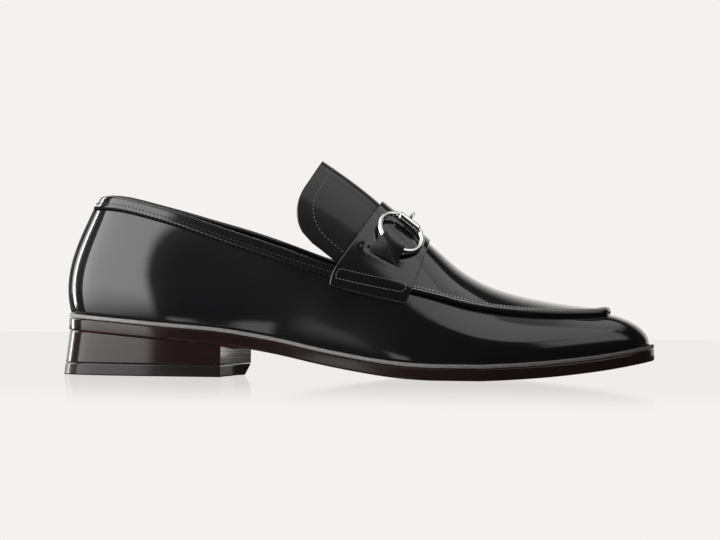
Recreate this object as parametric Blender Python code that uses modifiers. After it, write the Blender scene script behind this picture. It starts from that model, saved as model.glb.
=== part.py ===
"""Bit loafer for the right foot, at full size.

The shoe stands on the floor with its toe towards +X and its outer side towards -Y. Sizes below are
in millimetres, with X counted from the back of the heel, and place() turns them into metres.
Sections follow one turn round the shoe: angle 0 is the heel's back, and plus or minus pi the toe
tip, with the outer side negative and the inner side positive.
"""
import math

import bmesh
import bpy
import numpy as np
from mathutils import Vector

MM = 0.001
LENGTH = 304.0
SOLE_BACK = 2.3
SEAM_BACK = 15.6
SEAM_FRONT = 281.0
GAP = 0.3
STATIONS = 40

OUTSOLE_THICK = 6.1
WELT_THICK = 2.0
INSOLE_THICK = 3.5
LEATHER = 1.8
TOP_PIECE_HIGH = 6.0
HEEL_FLARE = 2.7
HEEL_HIGH = 22.5
BREAST_OUTER = 81.2
BREAST_INNER = 95.4
CHAMFER_LONG = 3.0
CHAMFER_REACH = 20.0
BREAST_HOLLOW = 2.5
HEEL_INSET = 0.4

BAND_HIGH = 7.2
BAND_ROWS = 2
BAND_ROLL = 6.0
BLEND_START = 108.0
BLEND_END = 134.0
WALL_ROWS = 6
APRON_ACROSS = 16
THROAT_STATION = 20
APRON_FRONT = 4

TONGUE_WIDE = 28.5
TONGUE_DROP = 37.0
TONGUE_THICK = 2.2
TONGUE_SLOPE = math.radians(32.7)
TONGUE_MIDDLE = -1.8
TONGUE_FRONT = 179.0
STRAP_THICK = 1.3
STRAP_ROWS = 6
STRAP_ACROSS = 18
STRIP_THICK = 1.0
STRIP_HALF_ANGLE = 0.14

WIRE = 1.3
RING_WIDE = 24.0
RING_DEEP = 22.0
BARREL_RADIUS = 2.3
BARREL_LONG = 12.0
BAR_RADIUS = 1.5
LINK_RADIUS = 2.4
LINK_LONG = 5.0
BARREL_LIFT = 5.0
RING_LIFT = 8.9
KEEPER_WIDE = 12.0
KEEPER_THICK = 1.0

# Sole edge seen from above: x, outer half width, inner half width.
SOLE_EDGE = [(2.3, 0, 0), (5, 12.5, 12.5), (10, 20.5, 20.5), (22, 28.5, 28.3), (42, 33, 32.3),
             (60, 34, 32.3), (80, 33.7, 31), (100, 34, 29), (120, 36.3, 28), (140, 40.3, 30),
             (160, 45, 35), (180, 49, 42), (196, 50.4, 46.3), (210, 50.2, 49.2), (225, 47.6, 50.2),
             (240, 43, 48.5), (255, 36.8, 44.4), (270, 29.5, 39.4), (285, 20.3, 32.9),
             (295, 12, 26.6), (301, 3, 20.2), (304, -8.5, 8.5)]
# Seam under the collar band and the apron lip: x, outer half width, inner half width.
SEAM_EDGE = [(15.6, 0, 0), (20, 12.5, 12.5), (33, 21.5, 21), (47, 25.2, 24.3), (60, 27.4, 25.4),
             (75, 29.5, 26.4), (95, 32, 28), (119, 35, 30), (136, 37, 31.5), (153, 38, 33),
             (177, 37.5, 35), (193, 36, 36), (206, 34.3, 36.5), (223, 31, 36), (240, 26, 34),
             (257, 19, 30.3), (272, 10, 25), (278.5, 4, 20.5), (281, -8.5, 8.5)]
# Seam height: x, outer side, inner side.
SEAM_HEIGHT = [(15.6, 85.3, 85.3), (33, 83.6, 84.8), (47, 80.1, 81.4), (60, 76.4, 78), (75, 71.3, 73.7),
               (95, 64.8, 68.1), (119, 57.2, 60.4), (136, 52.4, 55.3), (153, 48.8, 51), (177, 44.3, 45.4),
               (193, 40.5, 41), (206, 37.2, 37.4), (223, 34.5, 34.5), (240, 33.2, 33.2),
               (257, 32.8, 32.8), (272, 33.2, 33.2), (281, 34.4, 34.4)]
# How far the band and the lip stand out of the wall: x, outer side, inner side.
LIP_STEP = [(15.6, 1.2, 1.2), (100, 1.2, 1.2), (136, 1.5, 1.5), (160, 1.9, 1.9), (185, 2.2, 2.2),
            (281, 2.3, 2.3)]
# How far the foot of the wall stands inside the sole edge: x, outer side, inner side.
FEATHER = [(2.3, 2.3, 2.3), (20, 2.2, 2.2), (60, 2, 2), (110, 2.2, 2.2), (160, 3, 3), (200, 3.5, 3.5),
           (260, 3.5, 3.5), (304, 2.7, 2.7)]
# Wall sections by share of the length: outward lean at the foot, then inward slope at the seam.
FOOT_LEAN = [(0, 16, 16), (0.12, 13, 13), (0.33, 12, 16), (0.47, 13, 17), (0.65, 8, 9), (0.8, 8, 6),
             (0.92, 5, 4), (1, 3, 3)]
SEAM_SLOPE = [(0, 66, 66), (0.12, 76, 76), (0.33, 83, 86), (0.47, 78, 80), (0.65, 58, 58),
              (0.8, 42, 42), (0.92, 25, 25), (1, 12, 12)]
# Bezier handles of a wall section by share of the length, as parts of its chord: foot, seam.
HANDLES = [(0, 0.38, 0.33), (0.47, 0.38, 0.33), (0.65, 0.38, 0.35), (0.8, 0.38, 0.37),
           (0.92, 0.34, 0.38), (1, 0.3, 0.38)]
# Underside of the sole: x, height.
UNDERSIDE = [(0, 23.1), (27, 20.9), (54, 18.7), (81, 16.5), (97, 14.2), (112, 11.5), (128, 8),
             (144, 4.9), (160, 2.3), (174, 0.7), (188, 0), (200, -0.3), (213, 0), (230, 0.9), (246, 2.1),
             (262, 3.8), (280, 6.3), (304, 10.8)]
# Crown of the instep and the apron: x, height.
CROWN = [(148, 100.2), (161.8, 89.7), (168, 84.9), (175, 79.6), (180.4, 75.3), (186.5, 70.1),
         (192.7, 64.8), (200.9, 57.8), (209.2, 52.3), (217.4, 48.3), (229.8, 44.2), (246.2, 40.8),
         (262.7, 38.5), (281, 36.9)]
# How far the crown lies in front of its row's ends: x at the seam, forward.
CROWN_FORWARD = [(100, 38), (120, 31.5), (136.4, 25.4), (153, 18.6), (177.7, 8.8), (200, 3.2), (230, 0.6),
                 (255, 0), (281, 0)]
# Crown line of the tongue, which tucks under the apron at its front: x, height.
TONGUE_LINE = [(132, 110.9), (148, 100), (158, 92.3), (162, 88.8), (166, 84.3), (170, 79.6),
               (174, 75.5), (179, 71)]

LEATHER_BLACK = (0.012, 0.012, 0.013, 1)
SOLE_DARK = (0.03, 0.018, 0.018, 1)
STEEL = (0.75, 0.75, 0.74, 1)


def spline(knots, values):
    """A natural cubic spline through the values."""
    knots = np.array(knots, float)
    values = np.array(values, float)
    spans = np.diff(knots)
    slopes = np.diff(values) / spans
    system = np.eye(len(knots))
    right = np.zeros(len(knots))
    for i in range(1, len(knots) - 1):
        system[i, i - 1:i + 2] = spans[i - 1], 2 * (spans[i - 1] + spans[i]), spans[i]
        right[i] = 6 * (slopes[i] - slopes[i - 1])
    bends = np.linalg.solve(system, right)

    def at(where):
        i = int(np.clip(np.searchsorted(knots, where) - 1, 0, len(spans) - 1))
        before, after = where - knots[i], knots[i + 1] - where
        return ((bends[i] * after ** 3 + bends[i + 1] * before ** 3) / (6 * spans[i])
                + (values[i] / spans[i] - bends[i] * spans[i] / 6) * after
                + (values[i + 1] / spans[i] - bends[i + 1] * spans[i] / 6) * before)
    return at


def round_spline(rows, signed=False):
    """A spline round the whole shoe, from rows of x, outer value and inner value."""
    back, front = rows[0][0], rows[-1][0]
    angles = [math.acos(1 - 2 * (row[0] - back) / (front - back)) for row in rows]
    sign = -1 if signed else 1
    outer = [(-angle, sign * row[1]) for angle, row in zip(angles, rows)][1:]
    inner = [(angle, row[2]) for angle, row in zip(angles, rows)][:-1]
    turn = sorted(outer + inner)
    before = [(angle - 2 * math.pi, value) for angle, value in turn[-4:]]
    after = [(angle + 2 * math.pi, value) for angle, value in turn[:4]]
    knots, values = zip(*(before + turn + after))
    return spline(knots, values)


sole_side = round_spline(SOLE_EDGE, signed=True)
seam_side = round_spline(SEAM_EDGE, signed=True)
seam_height = round_spline(SEAM_HEIGHT)
lip_step = round_spline(LIP_STEP)
feather = round_spline(FEATHER)
foot_lean = round_spline(FOOT_LEAN)
seam_slope = round_spline(SEAM_SLOPE)
foot_handle = spline([row[0] for row in HANDLES], [row[1] for row in HANDLES])
seam_handle = spline([row[0] for row in HANDLES], [row[2] for row in HANDLES])
underside_line = spline(*zip(*UNDERSIDE))
crown_line = spline(*zip(*CROWN))
crown_forward = spline(*zip(*CROWN_FORWARD))
tongue_line = spline(*zip(*TONGUE_LINE))


def place(point):
    """Millimetres from the heel's back to metres from the middle of the shoe."""
    return Vector((point[0] - LENGTH / 2, point[1], point[2])) * MM


def underside(x):
    """Height of the outsole's underside, flat where it rests on the floor."""
    return max(0.0, underside_line(x))


def plan_point(back, front, side, angle):
    """A point of a closed line seen from above, and the direction that faces out of it."""
    half = (front - back) / 2
    step = 0.001
    along = (half * math.sin(angle), (side(angle + step) - side(angle - step)) / (2 * step))
    size = math.hypot(*along)
    point = np.array((back + half - half * math.cos(angle), side(angle), 0.0))
    return point, np.array((-along[1] / size, along[0] / size, 0.0))


def sole_point(angle, inset):
    """A point inside the sole edge by the inset, at height 0."""
    point, out = plan_point(SOLE_BACK, LENGTH, sole_side, angle)
    return point - out * inset


def seam_frame(angle):
    """The seam point, the wall's direction up into it, and the wall's outward normal there."""
    point, out = plan_point(SEAM_BACK, SEAM_FRONT, seam_side, angle)
    slope = math.radians(seam_slope(angle))
    point[2] = seam_height(angle)
    rise = np.array((0, 0, 1.0))
    up = rise * math.sin(slope) - out * math.cos(slope)
    normal = out * math.sin(slope) + rise * math.cos(slope)
    return point, up, normal


def wall_point(angle, share):
    """The wall's outer face, from share 0 at the welt to share 1 at the seam."""
    point, out = plan_point(SOLE_BACK, LENGTH, sole_side, angle)
    foot = point - out * feather(angle)
    foot[2] = underside(foot[0]) + OUTSOLE_THICK + WELT_THICK + 2 * GAP
    seam, up, _ = seam_frame(angle)
    chord = np.linalg.norm(seam - foot)
    lean = math.radians(foot_lean(angle))
    part = (1 - math.cos(angle)) / 2
    rise = np.array((0, 0, 1.0)) * math.cos(lean) + out * math.sin(lean)
    low = foot + rise * chord * foot_handle(part)
    high = seam - up * chord * seam_handle(part)
    rest = 1 - share
    return (foot * rest ** 3 + low * 3 * rest ** 2 * share + high * 3 * rest * share ** 2
            + seam * share ** 3)


def lip_point(angle):
    """The lower corner of the band or the lip, which stands out of the wall."""
    seam, _, normal = seam_frame(angle)
    return seam + normal * lip_step(angle)


def seam_angle(x):
    """The angle at which the seam passes x."""
    return math.acos(1 - 2 * (x - SEAM_BACK) / (SEAM_FRONT - SEAM_BACK))


def instep_point(angle, across):
    """The apron and the instep: across runs from -1 at the outer lip to 1 at the inner one."""
    outer, inner = lip_point(-angle), lip_point(angle)
    middle = (outer + inner) / 2
    crown_x = middle[0] + crown_forward(middle[0])
    crown = np.array((crown_x, middle[1], crown_line(crown_x)))
    return middle + (inner - outer) / 2 * across + (crown - middle) * (1 - across ** 2)


def edge_share(angle):
    """How much of the way across one row of the band's height takes up, at the lip."""
    half = (lip_point(angle) - lip_point(-angle)) / 2
    crown = instep_point(angle, 0) - instep_point(angle, 1) + half
    return BAND_HIGH / BAND_ROWS / np.linalg.norm(half + 2 * crown)


def band_point(angle, row):
    """The collar band, which runs into the instep near the throat."""
    seam, up, normal = seam_frame(angle)
    height = BAND_HIGH * row / BAND_ROWS
    roll = math.radians(BAND_ROLL)
    plain = lip_point(angle) + (up * math.cos(roll) - normal * math.sin(roll)) * height
    part = min(1.0, max(0.0, (seam[0] - BLEND_START) / (BLEND_END - BLEND_START)))
    part = part * part * (3 - 2 * part)
    if part == 0:
        return plain
    side = -1 if angle < 0 else 1
    across = side * (1 - edge_share(abs(angle)) * row)
    return plain * (1 - part) + instep_point(abs(angle), across) * part


def add_object(name, mesh_or_bmesh, material):
    """A named object in the shoe's collection."""
    mesh = mesh_or_bmesh
    if isinstance(mesh, bmesh.types.BMesh):
        mesh = bpy.data.meshes.new(name)
        mesh_or_bmesh.to_mesh(mesh)
        mesh_or_bmesh.free()
    obj = bpy.data.objects.new(name, mesh)
    shoe.objects.link(obj)
    mesh.materials.clear()
    mesh.materials.append(material)
    mesh.shade_smooth()
    mesh.set_sharp_from_angle(angle=math.radians(35))
    return obj


def add_material(name, color, roughness, metallic=0.0):
    """A plain finish."""
    material = bpy.data.materials.new(name)
    material.use_nodes = True
    shader = material.node_tree.nodes["Principled BSDF"]
    shader.inputs["Base Color"].default_value = color
    shader.inputs["Roughness"].default_value = roughness
    shader.inputs["Metallic"].default_value = metallic
    material.diffuse_color = color
    return material


def add_wall(obj, thickness, side):
    """Solidify towards the side: -1 is inwards and 1 outwards."""
    solid = obj.modifiers.new("wall", "SOLIDIFY")
    solid.thickness = thickness * MM
    solid.offset = side
    solid.use_even_offset = True
    return solid


def grid_sheet(rows):
    """A sheet through rows of points. Rows go forward or up and points run so that it faces out."""
    bm = bmesh.new()
    grid = [[bm.verts.new(place(point)) for point in row] for row in rows]
    for low, high in zip(grid, grid[1:]):
        for i in range(len(low) - 1):
            bm.faces.new((low[i], high[i], high[i + 1], low[i + 1]))
    return bm


def lift_sheet(bm, distance):
    """Moves a sheet off the surface that it follows, along its own normals."""
    bm.normal_update()
    moves = [(vert, vert.normal * distance * MM) for vert in bm.verts]
    for vert, move in moves:
        vert.co += move


def raise_sheet(bm, low, high):
    """Gives a flat sheet two faces, at heights that are functions of a point."""
    sheet = bm.faces[:]
    raised = bmesh.ops.extrude_face_region(bm, geom=sheet)
    tops = [item for item in raised["geom"] if isinstance(item, bmesh.types.BMVert)]
    lows = [vert for vert in bm.verts if vert not in set(tops)]
    for verts, height in ((lows, low), (tops, high)):
        for vert in verts:
            vert.co.z = height(vert.co.x / MM + LENGTH / 2) * MM
    bmesh.ops.recalc_face_normals(bm, faces=bm.faces[:])


def sole_columns(inset):
    """Points inside the sole edge, one for each column round the shoe, toe tip first."""
    angles = [-math.pi + math.pi * j / STATIONS for j in range(2 * STATIONS)]
    return [sole_point(angle, inset(angle)) for angle in angles]


def add_plate(name, inset, low, high, material):
    """A plate across the whole sole, with a row of faces for each station."""
    bm = bmesh.new()
    ring = [bm.verts.new(place(point)) for point in sole_columns(inset)]
    for i in range(STATIONS):
        corners = [ring[STATIONS - i], ring[STATIONS - i - 1]]
        corners += [ring[(STATIONS + i + 1) % len(ring)], ring[(STATIONS + i) % len(ring)]]
        bm.faces.new(list(dict.fromkeys(corners)))
    raise_sheet(bm, low, high)
    return add_object(name, bm, material)


def add_sole():
    """Outsole, welt and insole: each follows the underside at its own height."""
    add_plate("outsole", lambda angle: 0.0, underside, lambda x: underside(x) + OUTSOLE_THICK, edge_paint)
    welt_low = OUTSOLE_THICK + GAP
    bm = bmesh.new()
    edges = [sole_columns(lambda angle: 0.2), sole_columns(lambda angle: feather(angle) + LEATHER)]
    outer, inner = [[bm.verts.new(place(point)) for point in edge] for edge in edges]
    for j in range(len(outer)):
        after = (j + 1) % len(outer)
        bm.faces.new((outer[j], outer[after], inner[after], inner[j]))
    raise_sheet(bm, lambda x: underside(x) + welt_low, lambda x: underside(x) + welt_low + WELT_THICK)
    add_object("welt", bm, welt_leather)
    add_plate("insole", lambda angle: feather(angle) + LEATHER + 2 * GAP,
              lambda x: underside(x) + welt_low, lambda x: underside(x) + welt_low + INSOLE_THICK,
              lining)


def heel_outline():
    """Plan of the heel: round the back, then across the hollow breast that runs on inside."""
    def sole_angle(x):
        return math.acos(1 - 2 * (x - SOLE_BACK) / (LENGTH - SOLE_BACK))
    points = []
    for i in range(-12, 13):
        reach = BREAST_OUTER if i < 0 else BREAST_INNER
        points.append(sole_point(sole_angle(reach) * i / 12, HEEL_INSET))
    start, end = points[-1], points[0]
    for i in range(1, 6):
        part = i / 6
        point = start * (1 - part) + end * part
        point[0] -= BREAST_HOLLOW * math.sin(math.pi * part)
        points.append(point)
    return points


def add_heel():
    """Heel block of stacked lifts and the rubber top piece under it."""
    def flare(bm):
        for vert in bm.verts:
            x = vert.co.x / MM + LENGTH / 2
            if vert.co.z == 0 and x > BREAST_OUTER + CHAMFER_LONG:
                vert.co.x -= CHAMFER_LONG * MM * min(1.0, max(0.0, vert.co.y / MM / CHAMFER_REACH))
            drop = 1 - vert.co.z / MM / HEEL_HIGH
            vert.co.x -= HEEL_FLARE * MM * drop * max(0.0, 1 - (x - SOLE_BACK) / 50)
    for name, low, high, material in (
            ("heel_block", lambda x: TOP_PIECE_HIGH + GAP, lambda x: underside(x) - GAP, edge_paint),
            ("top_piece", lambda x: 0.0, lambda x: TOP_PIECE_HIGH, rubber)):
        bm = bmesh.new()
        bm.faces.new([bm.verts.new(place(point)) for point in heel_outline()])
        raise_sheet(bm, low, high)
        flare(bm)
        add_object(name, bm, material)


def add_upper():
    """Walls, collar band and apron as one sheet, open at the collar and underneath."""
    bm = bmesh.new()
    count = 2 * STATIONS
    angles = [-math.pi + math.pi * j / STATIONS for j in range(count)]
    rows = [[bm.verts.new(place(wall_point(angle, r / WALL_ROWS))) for angle in angles]
            for r in range(WALL_ROWS + 1)]
    rows.append([bm.verts.new(place(lip_point(angle))) for angle in angles])
    for low, high in zip(rows, rows[1:]):
        for j in range(count):
            after = (j + 1) % count
            bm.faces.new((low[j], high[j], high[after], low[after]))
    lip = rows[-1]
    back = range(STATIONS - THROAT_STATION, STATIONS + THROAT_STATION + 1)
    band = [{j: lip[j] for j in back}]
    for row in range(1, BAND_ROWS + 1):
        band.append({j: bm.verts.new(place(band_point(angles[j], row))) for j in back})
    for low, high in zip(band, band[1:]):
        for j in back[:-1]:
            bm.faces.new((low[j], high[j], high[j + 1], low[j + 1]))
    apron = []
    for i in range(THROAT_STATION, STATIONS - APRON_FRONT + 1):
        outer, inner = STATIONS - i, STATIONS + i
        share = edge_share(angles[inner])
        edge = [-1 + share * row for row in range(1, BAND_ROWS + 1)]
        span = np.linspace(edge[-1], -edge[-1], APRON_ACROSS - 2 * BAND_ROWS + 1)[1:-1]
        inside = [instep_point(angles[inner], across) for across in span]
        middle = [bm.verts.new(place(point)) for point in inside]
        if i == THROAT_STATION:
            low = [row[outer] for row in band]
            high = [row[inner] for row in reversed(band)]
        else:
            ends = [[bm.verts.new(place(instep_point(angles[inner], side * across))) for across in edge]
                    for side in (1, -1)]
            low = [lip[outer]] + ends[0]
            high = ends[1][::-1] + [lip[inner]]
        apron.append(low + middle + high)
    for near, far in zip(apron, apron[1:]):
        for i in range(len(near) - 1):
            bm.faces.new((near[i], far[i], far[i + 1], near[i + 1]))
    front = [lip[j % count] for j in range(count - APRON_FRONT + 1, count + APRON_FRONT)]
    bm.faces.new((front + apron[-1])[::-1])
    upper = add_object("upper", bm, leather)
    add_wall(upper, LEATHER, -1)


def add_back_strip():
    """Narrow strip over the heel seam, from the welt to the collar band."""
    angles = np.linspace(-STRIP_HALF_ANGLE, STRIP_HALF_ANGLE, 5)
    rows = [[wall_point(angle, share) for angle in angles] for share in np.linspace(0.01, 0.96, 13)]
    bm = grid_sheet(rows)
    lift_sheet(bm, GAP)
    add_wall(add_object("back_strip", bm, leather), STRIP_THICK, 1)


def tongue_point(x, across):
    """The tongue's outer face: an arch set square to its slope."""
    drop = TONGUE_DROP * across ** 2
    crown_z = tongue_line(x)
    return np.array((x - math.sin(TONGUE_SLOPE) * drop, TONGUE_MIDDLE + TONGUE_WIDE * across,
                     crown_z - math.cos(TONGUE_SLOPE) * drop))


def add_tongue():
    """Tongue behind the strap, straight at its end with round corners."""
    rows = []
    for part in np.linspace(0, 1, 11):
        row = []
        for across in np.linspace(-1, 1, 19):
            drop = TONGUE_DROP * across ** 2
            round_off = max(0.0, (drop - 16) / (TONGUE_DROP - 16))
            reach = 17 + 19 * math.sqrt(max(0.0, 1 - round_off ** 2))
            end = 161.8 - math.cos(TONGUE_SLOPE) * reach
            row.append(tongue_point(end + (TONGUE_FRONT - end) * part, across))
        rows.append(row)
    add_wall(add_object("tongue", grid_sheet(rows), tongue_leather), TONGUE_THICK, -1)


def strap_point(forward, across):
    """Sheet under the strap: forward runs from its back edge, across from foot to foot."""
    seam_x = 136.4 + (177.7 - 136.4) * forward
    if abs(across) > 1:
        side = math.copysign(1, across)
        return wall_point(side * seam_angle(seam_x - 4.4 * forward), 0.88 - 0.06 * forward)
    return instep_point(seam_angle(seam_x), across)


def add_strap():
    """Saddle strap, sewn down on both walls under the seam."""
    across = [-2, *np.linspace(-1, 1, STRAP_ACROSS + 1), 2]
    rows = [[strap_point(forward, share) for share in across]
            for forward in np.linspace(0, 1, STRAP_ROWS + 1)]
    bm = grid_sheet(rows)
    lift_sheet(bm, GAP + 0.1)
    add_wall(add_object("saddle_strap", bm, leather), STRAP_THICK, 1)


def bit_frame(side):
    """Barrel centre and axes of a ring: along the barrel, down the strap, and outwards."""
    def face(x, across):
        return instep_point(seam_angle(x), side * across)
    def lifted(x, across, lift):
        ahead = face(x + 3, across) - face(x, across)
        outward = np.cross(ahead, face(x, across + 0.05) - face(x, across)) * side
        return face(x, across) + outward / np.linalg.norm(outward) * lift
    near, far = lifted(159.2, 0.3, BARREL_LIFT), lifted(156.2, 0.83, RING_LIFT)
    ahead = lifted(162.2, 0.3, BARREL_LIFT) - near
    down = (far - near) / np.linalg.norm(far - near)
    ahead = ahead - down * ahead.dot(down)
    ahead /= np.linalg.norm(ahead)
    out = np.cross(ahead, down) * side
    return near, ahead, down, out


def curve_mesh(name, points, radius, cyclic=False, ring_resolution=2):
    """A round wire through the points, as a welded mesh."""
    curve = bpy.data.curves.new(name, "CURVE")
    curve.dimensions = "3D"
    curve.bevel_depth = radius * MM
    curve.bevel_resolution = ring_resolution
    curve.use_fill_caps = not cyclic
    wire = curve.splines.new("POLY")
    wire.points.add(len(points) - 1)
    for item, point in zip(wire.points, points):
        item.co = (*place(point), 1)
    wire.use_cyclic_u = cyclic
    obj = bpy.data.objects.new(name, curve)
    shoe.objects.link(obj)
    bpy.context.view_layer.update()
    mesh = bpy.data.meshes.new_from_object(obj.evaluated_get(bpy.context.evaluated_depsgraph_get()))
    bpy.data.objects.remove(obj)
    bm = bmesh.new()
    bm.from_mesh(mesh)
    bmesh.ops.remove_doubles(bm, verts=bm.verts[:], dist=0.00001)
    bmesh.ops.recalc_face_normals(bm, faces=bm.faces[:])
    bm.to_mesh(mesh)
    bm.free()
    return mesh


def ring_points(side):
    """A D-shaped ring whose straight side lies in the barrel."""
    centre, ahead, down, _ = bit_frame(side)
    straight = 7.0
    flat = [(-straight, 0), (-straight / 3, 0), (straight / 3, 0), (straight, 0)]
    middle = RING_DEEP - RING_WIDE / 2
    for i in range(19):
        turn = math.radians(48 - 276 * i / 18)
        flat.append((RING_WIDE / 2 * math.cos(turn), middle - RING_WIDE / 2 * math.sin(turn)))
    return [centre + ahead * a + down * b for a, b in flat]


def add_bool(obj, cutter_mesh, operation):
    """Cuts or joins with a helper object, which stays hidden."""
    cutter = bpy.data.objects.new(obj.name + "_" + operation.lower(), cutter_mesh)
    helpers.objects.link(cutter)
    cutter.hide_render = True
    cutter.display_type = "WIRE"
    modifier = obj.modifiers.new(operation.lower(), "BOOLEAN")
    modifier.object = cutter
    modifier.operation = operation
    modifier.solver = "EXACT"


def add_bit():
    """Two rings, and one bar over the crown that carries both barrels and the middle link."""
    for side, name in ((-1, "bit_ring_outer"), (1, "bit_ring_inner")):
        add_object(name, curve_mesh(name, ring_points(side), WIRE, cyclic=True), steel)
    (left, left_ahead, _, _), (right, right_ahead, _, _) = bit_frame(-1), bit_frame(1)
    crown = instep_point(seam_angle(159.2), 0)
    top = crown + np.array((0.54, 0, 0.84)) * BARREL_LIFT
    path = []
    for part in np.linspace(-1, 1, 13):
        line = (left * (1 - part) + right * (1 + part)) / 2
        path.append(line + (top - (left + right) / 2) * (1 - part ** 2))
    bar = add_object("bit_bar", curve_mesh("bit_bar", path, BAR_RADIUS), steel)
    for centre, ahead in ((left, left_ahead), (right, right_ahead)):
        ends = [centre - ahead * BARREL_LONG / 2, centre + ahead * BARREL_LONG / 2]
        add_bool(bar, curve_mesh("barrel", ends, BARREL_RADIUS), "UNION")
    ends = [top - left_ahead * LINK_LONG / 2, top + left_ahead * LINK_LONG / 2]
    add_bool(bar, curve_mesh("link", ends, LINK_RADIUS), "UNION")
    for centre, ahead in ((left, left_ahead), (right, right_ahead)):
        ends = [centre - ahead * BARREL_LONG, centre + ahead * BARREL_LONG]
        add_bool(bar, curve_mesh("bore", ends, WIRE + GAP), "DIFFERENCE")


def add_keepers():
    """Leather loop on each side, round the far arc of its ring."""
    for side, name in ((-1, "keeper_outer"), (1, "keeper_inner")):
        centre, ahead, down, out = bit_frame(side)
        middle = centre + down * (RING_DEEP - 1.2)
        half_long, half_high = 2.7, WIRE + GAP
        outline = []
        for i in range(16):
            turn = 2 * math.pi * i / 16
            a = half_long * math.copysign(abs(math.cos(turn)) ** 0.6, math.cos(turn))
            b = half_high * math.copysign(abs(math.sin(turn)) ** 0.8, math.sin(turn))
            outline.append(middle + down * a + out * b)
        bm = bmesh.new()
        sides = [[bm.verts.new(place(point + ahead * reach)) for point in outline]
                 for reach in (-KEEPER_WIDE / 2, KEEPER_WIDE / 2)]
        for i in range(16):
            after = (i + 1) % 16
            bm.faces.new((sides[0][i], sides[1][i], sides[1][after], sides[0][after]))
        bmesh.ops.recalc_face_normals(bm, faces=bm.faces[:])
        add_wall(add_object(name, bm, leather), KEEPER_THICK, 1)


for old in list(bpy.data.objects):
    bpy.data.objects.remove(old)
shoe = bpy.data.collections.new("bit_loafer")
helpers = bpy.data.collections.new("helpers")
bpy.context.scene.collection.children.link(shoe)
bpy.context.scene.collection.children.link(helpers)
leather = add_material("polished_leather", LEATHER_BLACK, 0.12)
tongue_leather = add_material("tongue_leather", LEATHER_BLACK, 0.3)
lining = add_material("lining", (0.02, 0.02, 0.02, 1), 0.7)
welt_leather = add_material("welt_leather", (0.35, 0.34, 0.33, 1), 0.6)
edge_paint = add_material("sole_edge", SOLE_DARK, 0.25)
rubber = add_material("top_piece_rubber", (0.015, 0.015, 0.015, 1), 0.5)
steel = add_material("polished_steel", STEEL, 0.08, 1.0)
add_sole()
add_heel()
add_upper()
add_back_strip()
add_tongue()
add_strap()
add_bit()
add_keepers()
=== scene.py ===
import math

import bmesh
import bpy
import numpy as np
from mathutils import Matrix, Vector


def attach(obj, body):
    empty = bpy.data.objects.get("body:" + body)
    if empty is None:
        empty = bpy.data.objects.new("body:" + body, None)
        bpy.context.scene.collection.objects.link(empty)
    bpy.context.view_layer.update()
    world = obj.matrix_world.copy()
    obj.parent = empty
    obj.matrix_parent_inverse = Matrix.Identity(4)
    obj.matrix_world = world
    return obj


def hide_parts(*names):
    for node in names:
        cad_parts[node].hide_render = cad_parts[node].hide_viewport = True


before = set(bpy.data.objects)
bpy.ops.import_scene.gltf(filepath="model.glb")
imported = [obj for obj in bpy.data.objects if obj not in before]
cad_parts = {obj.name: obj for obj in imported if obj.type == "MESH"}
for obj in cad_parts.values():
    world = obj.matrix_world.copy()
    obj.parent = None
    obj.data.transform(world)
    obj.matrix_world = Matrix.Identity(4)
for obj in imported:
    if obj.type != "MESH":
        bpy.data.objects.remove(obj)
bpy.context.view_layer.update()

# Quarters and vamp. One last-shaped wall of polished box calf, cut in two and closed at the heel
# under the back strip, lasted over the insole and sewn to the welt. Soft troughs lie where the
# leather gives: below the ankle, behind the strap and over the joint of the toes.
MM = 0.001
LENGTH = 304.0
GAP = 0.3
SOLE_BACK = 2.3
SEAM_BACK = 15.6
SEAM_FRONT = 281.0

# Sizes are in millimetres. A row of three gives x from the heel's back, outer side and inner side,
# and a row of two gives x and height. Leans and slopes are in degrees and start with a share of
# the length, as do the handles of the wall's curve at its foot and at the seam.
# One turn round the shoe runs from the toe tip back along the outer side to the heel at angle 0,
# and forward along the inner side.
SOLE_EDGE = [(2.3, 0, 0), (5, 12.5, 12.5), (10, 20.5, 20.5), (22, 28.5, 28.3), (42, 33, 32.3),
             (60, 34, 32.3), (80, 33.7, 31), (100, 34, 29), (120, 36.3, 28), (140, 40.3, 30),
             (160, 45, 35), (180, 49, 42), (196, 50.4, 46.3), (210, 50.2, 49.2), (225, 47.6, 50.2),
             (240, 43, 48.5), (255, 36.8, 44.4), (270, 29.5, 39.4), (285, 20.3, 32.9),
             (295, 12, 26.6), (301, 3, 20.2), (304, -8.5, 8.5)]
SEAM_EDGE = [(15.6, 0, 0), (20, 12.5, 12.5), (33, 21.5, 21), (47, 25.2, 24.3), (60, 27.4, 25.4),
             (75, 29.5, 26.4), (95, 32, 28), (119, 35, 30), (136, 37, 31.5), (153, 38, 33),
             (177, 37.5, 35), (193, 36, 36), (206, 34.3, 36.5), (223, 31, 36), (240, 26, 34),
             (257, 19, 30.3), (272, 10, 25), (278.5, 4, 20.5), (281, -8.5, 8.5)]
SEAM_HEIGHT = [(15.6, 85.3, 85.3), (33, 83.6, 84.8), (47, 80.1, 81.4), (60, 76.4, 78), (75, 71.3, 73.7),
               (95, 64.8, 68.1), (119, 57.2, 60.4), (136, 52.4, 55.3), (153, 48.8, 51), (177, 44.3, 45.4),
               (193, 40.5, 41), (206, 37.2, 37.4), (223, 34.5, 34.5), (240, 33.2, 33.2),
               (257, 32.8, 32.8), (272, 33.2, 33.2), (281, 34.4, 34.4)]
FEATHER = [(2.3, 2.3, 2.3), (20, 2.2, 2.2), (60, 2, 2), (110, 2.2, 2.2), (160, 3, 3), (200, 3.5, 3.5),
           (260, 3.5, 3.5), (304, 2.7, 2.7)]
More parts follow.
